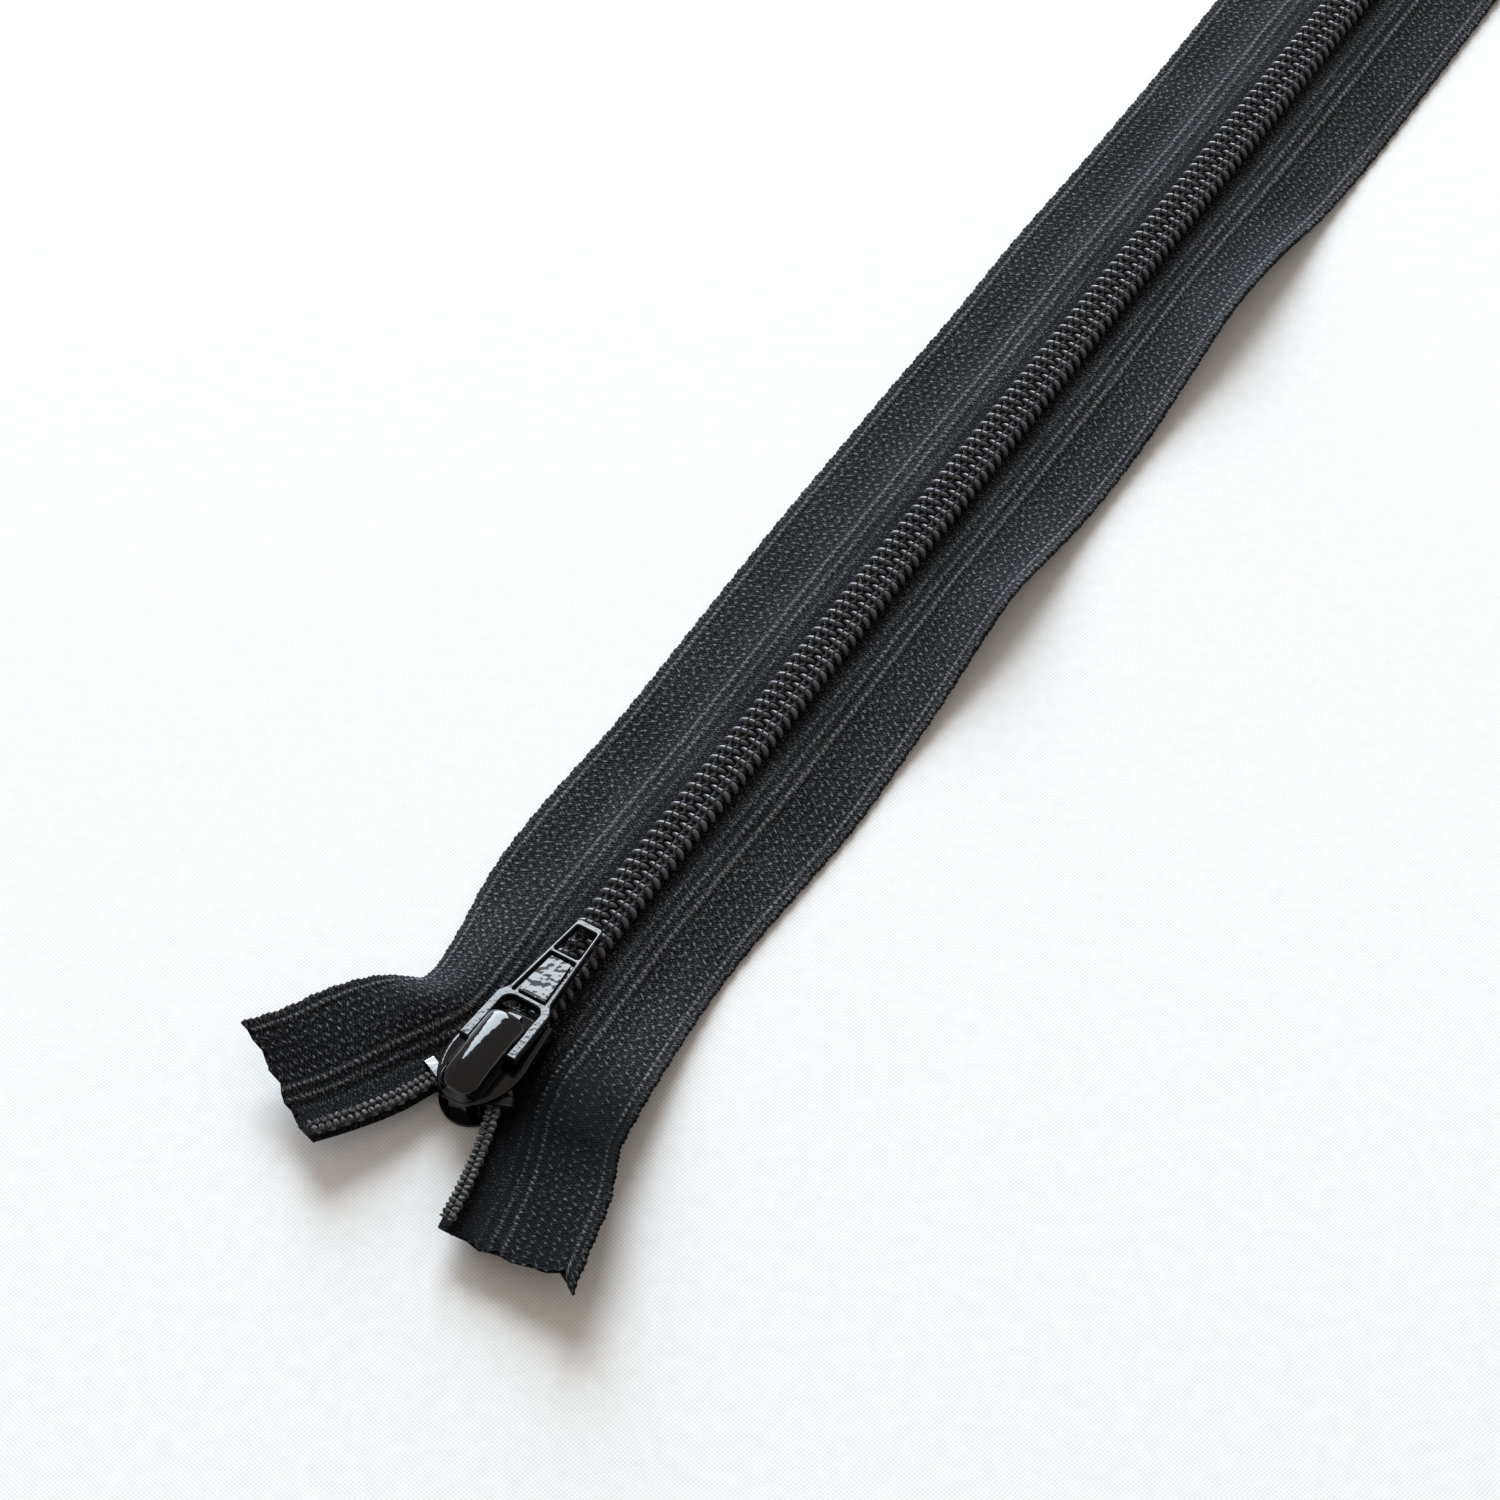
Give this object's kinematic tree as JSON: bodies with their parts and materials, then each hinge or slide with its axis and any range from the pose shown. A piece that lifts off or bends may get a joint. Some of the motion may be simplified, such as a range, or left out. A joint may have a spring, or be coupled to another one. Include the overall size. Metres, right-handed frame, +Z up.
{
  "type": "zipper",
  "caption": "Closed-end coil zipper: two woven tapes with nylon coils joined by a locking slider with a looped pull tab.",
  "frame": {"origin": "centre of the outline, on the surface that the zipper lies on", "axes": "+Y along the chain from the slider's top end to the bottom stop, +X across to the right tape, +Z up from the surface"},
  "size_m": [0.0368, 0.2319, 0.0059],
  "materials": {
    "tape": "woven polyester tape, matt black",
    "coil": "satin black nylon monofilament",
    "cord": "braided black polyester cord",
    "thread": "black sewing thread",
    "slider_paint": "gloss black enamel on die-cast zinc",
    "spring_steel": "bright spring strip",
    "stop_metal": "blackened metal strip, semi-gloss"
  },
  "bodies": {
    "base": {"bottom_stop": "stop_metal"},
    "left_side": {"tape_left": "tape", "coil_left": "coil", "core_cord_left": "cord", "needle_thread_inner_left": "thread", "needle_thread_outer_left": "thread", "looper_thread_left": "thread", "top_stop_left": "stop_metal"},
    "right_side": {"tape_right": "tape", "coil_right": "coil", "core_cord_right": "cord", "needle_thread_inner_right": "thread", "needle_thread_outer_right": "thread", "looper_thread_right": "thread", "top_stop_right": "stop_metal"},
    "slider": {"slider_body": "slider_paint", "slider_crown": "slider_paint"},
    "pull": {"pull_tab": "slider_paint"},
    "lock": {"lock_spring": "spring_steel"}
  },
  "joints": [
    {"name": "slider_travel", "type": "slide", "parent": "base", "child": "slider", "axis": [0, 1, 0], "range_m": [0, 0.191], "deforming": ["tape_left", "coil_left", "core_cord_left", "needle_thread_inner_left", "needle_thread_outer_left", "looper_thread_left", "tape_right", "coil_right", "core_cord_right", "needle_thread_inner_right", "needle_thread_outer_right", "looper_thread_right"]},
    {"name": "left_side_open", "type": "hinge", "parent": "base", "child": "left_side", "pos_m": [0, 0.0973, 0.001], "axis": [0, 0, -1], "range_deg": [0, 7.1]},
    {"name": "right_side_open", "type": "hinge", "parent": "base", "child": "right_side", "pos_m": [0, 0.0973, 0.001], "axis": [0, 0, 1], "range_deg": [0, 7.1]},
    {"name": "pull_swing", "type": "hinge", "parent": "slider", "child": "pull", "pos_m": [0, -0.1006, 0.00455], "axis": [1, 0, 0], "range_deg": [0, 160]},
    {"name": "lock_flex", "type": "hinge", "parent": "slider", "child": "lock", "pos_m": [0, -0.1033, 0.0043], "axis": [1, 0, 0], "range_deg": [0, 3.05]}
  ],
  "couplings": [
    {"joint": "left_side_open", "follows": "slider_travel", "rad_per_m": 0.63965},
    {"joint": "right_side_open", "follows": "slider_travel", "rad_per_m": 0.63965},
    {"joint": "lock_flex", "follows": "pull_swing", "ratio": 0.01875}
  ]
}
